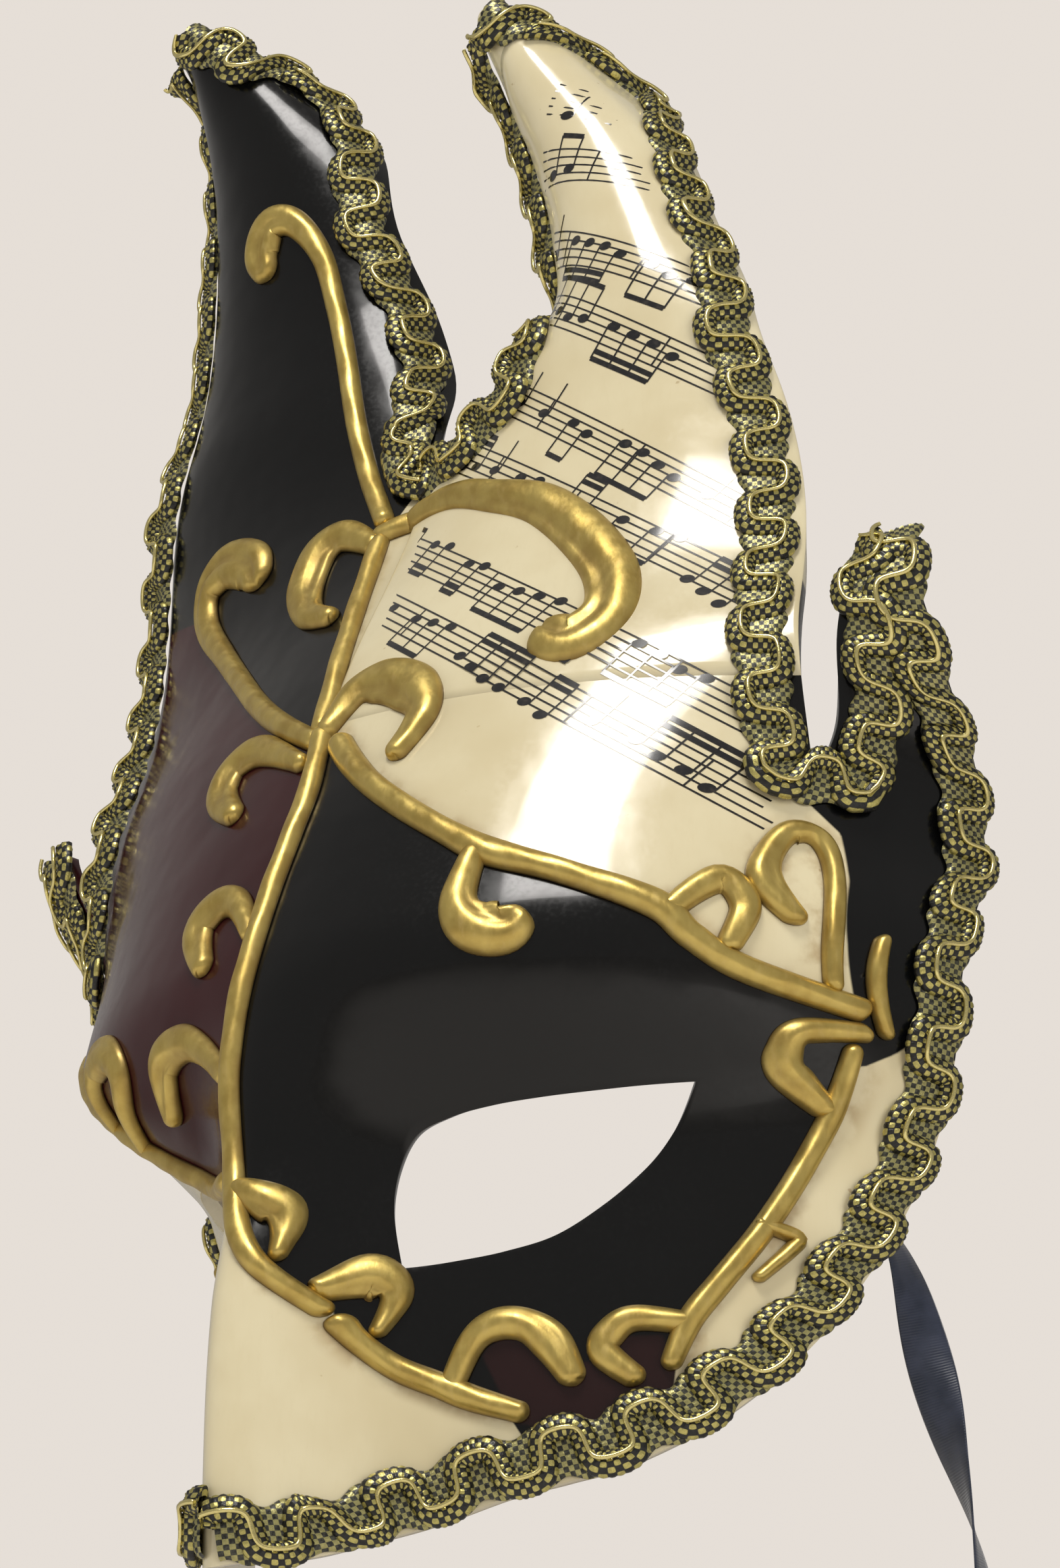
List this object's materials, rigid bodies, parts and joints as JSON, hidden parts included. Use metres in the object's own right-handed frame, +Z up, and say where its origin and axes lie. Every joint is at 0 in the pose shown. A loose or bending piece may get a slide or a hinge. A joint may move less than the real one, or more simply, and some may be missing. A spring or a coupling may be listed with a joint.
{
  "type": "venetian masquerade mask",
  "caption": "Venetian half mask with a crown of four horns, score paper, gold relief scrolls, gimp braid edging and a satin ribbon to tie it on.",
  "frame": {"origin": "on the middle line at the height of the eyes, in the plane of the side rims", "axes": "+Z up, the face looks towards -Y, +X is on the right when the mask is looked at from the front"},
  "size_m": [0.1721, 0.0887, 0.3642],
  "materials": {
    "shell_lacquer": "painted and varnished papier-mache: gloss black, maroon and aged ivory fields, bare matte ivory inside",
    "score_paper": "aged ivory paper with printed black staves and notes, sealed with varnish",
    "gimp_braid": "woven scroll gimp of black and metallic gold thread with a fine bright gold wire",
    "gold_relief": "raised relief in satin antique gold with brown shading in the recesses",
    "patch_felt": "plain glued cloth patch",
    "ribbon_satin": "dark navy satin ribbon with a fine rib across",
    "tie_elastic": "black woven elastic band"
  },
  "bodies": {
    "root": {"shell": "shell_lacquer", "score_paper": "score_paper", "braid_centre_valley": "gimp_braid", "braid_right_valley": "gimp_braid", "braid_left_valley": "gimp_braid", "braid_right_rim": "gimp_braid", "braid_left_rim": "gimp_braid", "scroll_centre_vine": "gold_relief", "scroll_nose_leaf": "gold_relief", "scroll_bridge_bud": "gold_relief", "scroll_lower_vine": "gold_relief", "scroll_lower_arch_inner": "gold_relief", "scroll_lower_arch_outer": "gold_relief", "scroll_cheek_vine": "gold_relief", "scroll_cheek_leaf": "gold_relief", "scroll_temple_curl": "gold_relief", "scroll_heart": "gold_relief", "scroll_side_spray": "gold_relief", "scroll_brow_vine": "gold_relief", "scroll_brow_curl_inner": "gold_relief", "scroll_brow_curl_outer": "gold_relief", "scroll_forehead_leaf": "gold_relief", "scroll_forehead_stem": "gold_relief", "scroll_forehead_spiral": "gold_relief", "scroll_horn": "gold_relief", "scroll_horn_curl": "gold_relief", "scroll_left_branch": "gold_relief", "scroll_left_curl_high": "gold_relief", "scroll_left_curl_middle": "gold_relief", "scroll_left_curl_low": "gold_relief", "scroll_left_brow_vine": "gold_relief", "scroll_left_brow_curl": "gold_relief", "scroll_left_cheek_vine": "gold_relief", "scroll_left_lower_vine": "gold_relief", "ribbon_patch_right": "patch_felt", "ribbon_patch_left": "patch_felt", "ribbon": "ribbon_satin", "ribbon_hank": "ribbon_satin", "ribbon_tie": "tie_elastic"}
  },
  "joints": []
}
